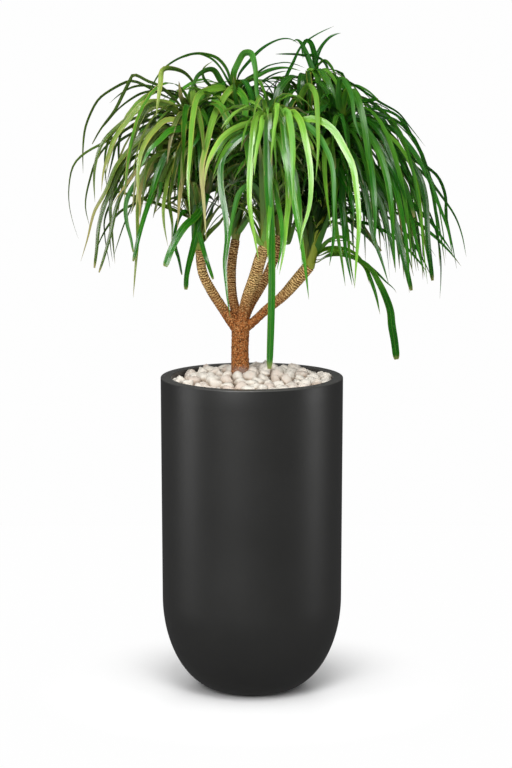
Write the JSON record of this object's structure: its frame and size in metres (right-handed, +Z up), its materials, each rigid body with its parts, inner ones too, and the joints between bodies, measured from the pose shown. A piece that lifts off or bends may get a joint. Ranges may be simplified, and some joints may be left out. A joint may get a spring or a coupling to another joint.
{
  "type": "potted ponytail palm",
  "caption": "Branched indoor palm with arching strap leaves, in a tall round-bottomed planter topped with pale pebbles.",
  "frame": {"origin": "centre of the planter's flat foot, on the floor", "axes": "+Z up; -Y is the side the picture shows; +X is that view's right"},
  "size_m": [0.8631, 0.65, 1.47],
  "materials": {
    "planter": "matte",
    "soil": "rough",
    "pebbles": "matte",
    "bark": "rough",
    "leaf_olive": "satin",
    "leaf_deep": "satin",
    "leaf_bright": "satin",
    "leaf_blue": "satin"
  },
  "bodies": {
    "root": {"planter": "planter", "soil": "soil", "pebbles": "pebbles", "trunk": "bark", "crown_left": "leaf_olive", "crown_back_left": "leaf_deep", "crown_front": "leaf_bright", "crown_back_right": "leaf_deep", "crown_right": "leaf_blue"}
  },
  "joints": []
}
